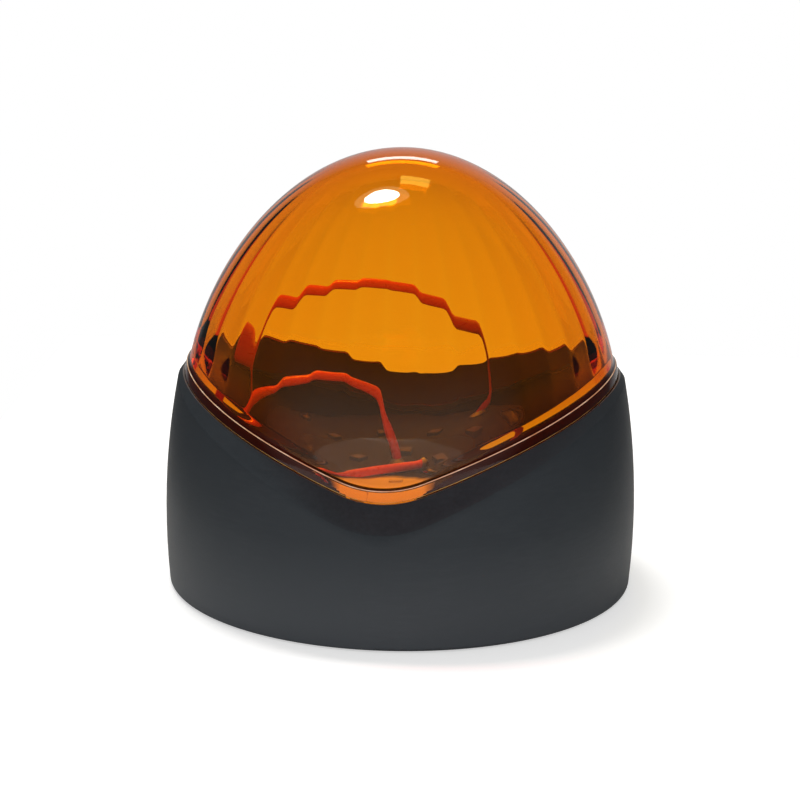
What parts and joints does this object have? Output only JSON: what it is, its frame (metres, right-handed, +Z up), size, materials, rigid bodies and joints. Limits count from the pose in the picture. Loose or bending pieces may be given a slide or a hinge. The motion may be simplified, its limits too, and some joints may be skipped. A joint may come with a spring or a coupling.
{
  "type": "flashing warning light",
  "caption": "Surface mounted flashing warning light: a clear amber dome, fluted inside, pushed into the V-shaped bevelled rim of a round charcoal base that holds a flasher circuit.",
  "frame": {"origin": "centre of the flat underside of the base", "axes": "+Z up through the dome, -Y towards the dip of the rim that faces the viewer, X through the two raised sides of the rim and the two fixing holes"},
  "size_m": [0.125, 0.125, 0.116],
  "materials": {
    "base_plastic": "satin moulded charcoal, finely grained",
    "amber_lens": "clear amber, polished outside, fluted inside",
    "red_lead": "red lead insulation",
    "black_board": "black solder mask",
    "green_board": "green solder mask",
    "black_rubber": "soft black rubber",
    "led_case": "dark moulded package",
    "led_window": "amber silicone window",
    "screw_steel": "zinc plated",
    "solder": "bright tin",
    "terminal_plastic": "moulded green",
    "plated_brass": "bright",
    "socket_plastic": "off-white nylon",
    "fuse_glass": "clear",
    "plated_metal": "nickel plated",
    "can_sleeve": "dark shrink sleeve",
    "black_epoxy": "moulded epoxy",
    "ferrite": "sintered ferrite",
    "copper_winding": "enamelled copper wire",
    "resistor_paint": "lacquer"
  },
  "bodies": {
    "base": {"base_housing": "base_plastic", "lens_seal": "black_rubber", "cable_grommet": "black_rubber", "led_board_screws": "screw_steel", "driver_board_screws": "screw_steel", "led_board": "black_board", "led_packages": "led_case", "led_windows": "led_window", "lead_long": "red_lead", "lead_short": "red_lead", "lead_bridge": "red_lead", "lead_joints": "solder", "lead_socket": "socket_plastic", "driver_board": "green_board", "terminal_block": "terminal_plastic", "fuse_tube": "fuse_glass", "fuse_caps": "plated_metal", "fuse_clips": "plated_brass", "storage_capacitor": "can_sleeve", "bridge_rectifier": "black_epoxy", "timer_chip": "black_epoxy", "timer_legs": "solder", "switch_transistor": "black_epoxy", "choke_core": "ferrite", "choke_winding": "copper_winding", "ballast_resistors": "resistor_paint"},
    "lens": {"lens": "amber_lens"},
    "terminal_screw_left": {"terminal_screw_left": "screw_steel"},
    "terminal_screw_right": {"terminal_screw_right": "screw_steel"},
    "terminal_cage_left": {"terminal_cage_left": "plated_brass"},
    "terminal_cage_right": {"terminal_cage_right": "plated_brass"}
  },
  "joints": [
    {"name": "lens_lift", "type": "slide", "parent": "base", "child": "lens", "axis": [0, 0, 1], "range_m": [0, 0.08]},
    {"name": "terminal_screw_left_turn", "type": "hinge", "parent": "base", "child": "terminal_screw_left", "pos_m": [-0.0025, 0.015, 0.021], "axis": [0, 0, -1], "range_deg": [0, 1590]},
    {"name": "terminal_cage_left_rise", "type": "slide", "parent": "base", "child": "terminal_cage_left", "axis": [0, 0, 1], "range_m": [0, 0.00198]},
    {"name": "terminal_screw_right_turn", "type": "hinge", "parent": "base", "child": "terminal_screw_right", "pos_m": [0.0025, 0.015, 0.021], "axis": [0, 0, -1], "range_deg": [0, 1590]},
    {"name": "terminal_cage_right_rise", "type": "slide", "parent": "base", "child": "terminal_cage_right", "axis": [0, 0, 1], "range_m": [0, 0.00198]}
  ],
  "couplings": [
    {"joint": "terminal_screw_left_turn", "follows": "terminal_cage_left_rise", "rad_per_m": 13963},
    {"joint": "terminal_screw_right_turn", "follows": "terminal_cage_right_rise", "rad_per_m": 13963}
  ]
}
